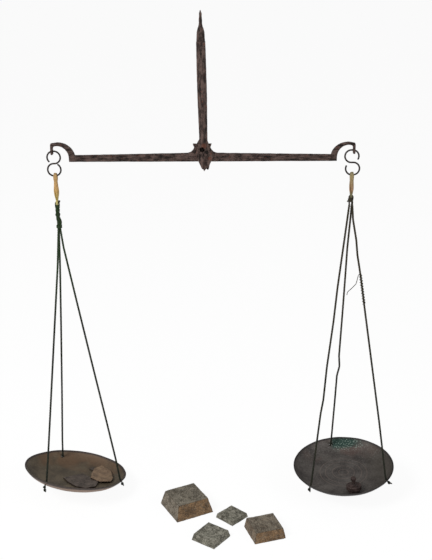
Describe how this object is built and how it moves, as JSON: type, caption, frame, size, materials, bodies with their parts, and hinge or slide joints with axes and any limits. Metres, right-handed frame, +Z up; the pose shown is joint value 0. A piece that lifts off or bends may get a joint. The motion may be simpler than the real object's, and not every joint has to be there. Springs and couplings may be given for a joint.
{
  "type": "equal-arm hand balance",
  "caption": "Hanging equal-arm balance with a forged beam in shears, S hooks, leather thongs, corded dished pans, and block and knobbed weights.",
  "frame": {"origin": "centre of the suspension eye at the top of the shears", "axes": "+X along the beam and the suspension eye's bore to the viewer's right, +Y away from the viewer, +Z up; the balance hangs level"},
  "size_m": [0.4083, 0.1696, 0.5206],
  "materials": {
    "forged_iron": "dark forged iron with rust in its hollows",
    "iron_wire": "dark iron wire and blades, dull",
    "tan_leather": "worn tan leather, twisted",
    "olive_leather": "worn olive brown leather, twisted",
    "green_cord": "dark green twisted cord",
    "olive_cord": "olive grey twisted cord",
    "brown_brass": "brown patina, thin hammered sheet",
    "dark_brass": "dark patina with green corrosion at the rim",
    "grey_metal": "dull grey cut sheet",
    "tan_metal": "tan coated cut sheet",
    "dark_bronze": "dark turned bronze",
    "grey_bronze": "grey green cast bronze, worn to brown on its sides"
  },
  "bodies": {
    "shears": {"shears_head": "forged_iron", "shears_front_cheek": "forged_iron", "shears_rear_cheek": "forged_iron"},
    "beam": {"beam": "forged_iron", "pointer": "iron_wire", "knife_edge": "iron_wire"},
    "left_hook": {"hook_left": "iron_wire"},
    "right_hook": {"hook_right": "iron_wire"},
    "left_thong": {"thong_left": "tan_leather"},
    "right_thong": {"thong_right": "olive_leather"},
    "left_pan": {"cord_bundle_left": "green_cord", "cord_left_front": "green_cord", "cord_left_rear": "green_cord", "cord_left_side": "green_cord", "pan_left": "brown_brass"},
    "right_pan": {"cord_knot_right": "olive_cord", "cord_right_front": "olive_cord", "cord_right_rear": "olive_cord", "cord_right_side": "olive_cord", "repair_lashing": "olive_cord", "pan_right": "dark_brass"},
    "grey_sheet": {"grey_sheet": "grey_metal"},
    "tan_sheet": {"tan_sheet": "tan_metal"},
    "small_clipping": {"small_clipping": "grey_metal"},
    "knob_weight": {"knob_weight": "dark_bronze"},
    "large_block": {"block_weight_large": "grey_bronze"},
    "medium_block": {"block_weight_medium": "grey_bronze"},
    "thin_block": {"block_weight_thin": "grey_bronze"},
    "small_block": {"block_weight_small": "grey_bronze"}
  },
  "joints": [
    {"name": "beam_tilt", "type": "hinge", "parent": "shears", "child": "beam", "pos_m": [0, 0, -0.1312], "axis": [0, 1, 0], "range_deg": [-12, 12]},
    {"name": "left_hook_swing", "type": "hinge", "parent": "beam", "child": "left_hook", "pos_m": [-0.1499, 0, -0.13115], "axis": [0, 1, 0], "range_deg": [-12, 12]},
    {"name": "right_hook_swing", "type": "hinge", "parent": "beam", "child": "right_hook", "pos_m": [0.1499, 0, -0.13115], "axis": [0, 1, 0], "range_deg": [-12, 12]},
    {"name": "left_thong_sway", "type": "hinge", "parent": "left_hook", "child": "left_thong", "pos_m": [-0.1485, 0, -0.15604], "axis": [1, 0, 0], "range_deg": [-5, 5]},
    {"name": "right_thong_sway", "type": "hinge", "parent": "right_hook", "child": "right_thong", "pos_m": [0.1485, 0, -0.15599], "axis": [1, 0, 0], "range_deg": [-5, 5]},
    {"name": "left_pan_swing", "type": "hinge", "parent": "left_thong", "child": "left_pan", "pos_m": [-0.1485, 0, -0.18304], "axis": [1, 0, 0], "range_deg": [-4, 4]},
    {"name": "right_pan_swing", "type": "hinge", "parent": "right_thong", "child": "right_pan", "pos_m": [0.1485, 0, -0.17699], "axis": [1, 0, 0], "range_deg": [-4, 4]},
    {"name": "grey_sheet_lift", "type": "slide", "parent": "left_pan", "child": "grey_sheet", "axis": [0, 0, 1], "range_m": [0, 0.025]},
    {"name": "tan_sheet_lift", "type": "slide", "parent": "grey_sheet", "child": "tan_sheet", "axis": [0, 0, 1], "range_m": [0, 0.02]},
    {"name": "clipping_lift", "type": "slide", "parent": "left_pan", "child": "small_clipping", "axis": [0, 0, 1], "range_m": [0, 0.02]},
    {"name": "knob_weight_lift", "type": "slide", "parent": "right_pan", "child": "knob_weight", "axis": [0, 0, 1], "range_m": [0, 0.03]},
    {"name": "large_block_lift", "type": "slide", "parent": "shears", "child": "large_block", "axis": [0, 0, 1], "range_m": [0, 0.03]},
    {"name": "medium_block_lift", "type": "slide", "parent": "shears", "child": "medium_block", "axis": [0, 0, 1], "range_m": [0, 0.03]},
    {"name": "thin_block_lift", "type": "slide", "parent": "shears", "child": "thin_block", "axis": [0, 0, 1], "range_m": [0, 0.03]},
    {"name": "small_block_lift", "type": "slide", "parent": "shears", "child": "small_block", "axis": [0, 0, 1], "range_m": [0, 0.03]}
  ],
  "couplings": [
    {"joint": "left_hook_swing", "follows": "beam_tilt", "ratio": -1},
    {"joint": "right_hook_swing", "follows": "beam_tilt", "ratio": -1}
  ]
}
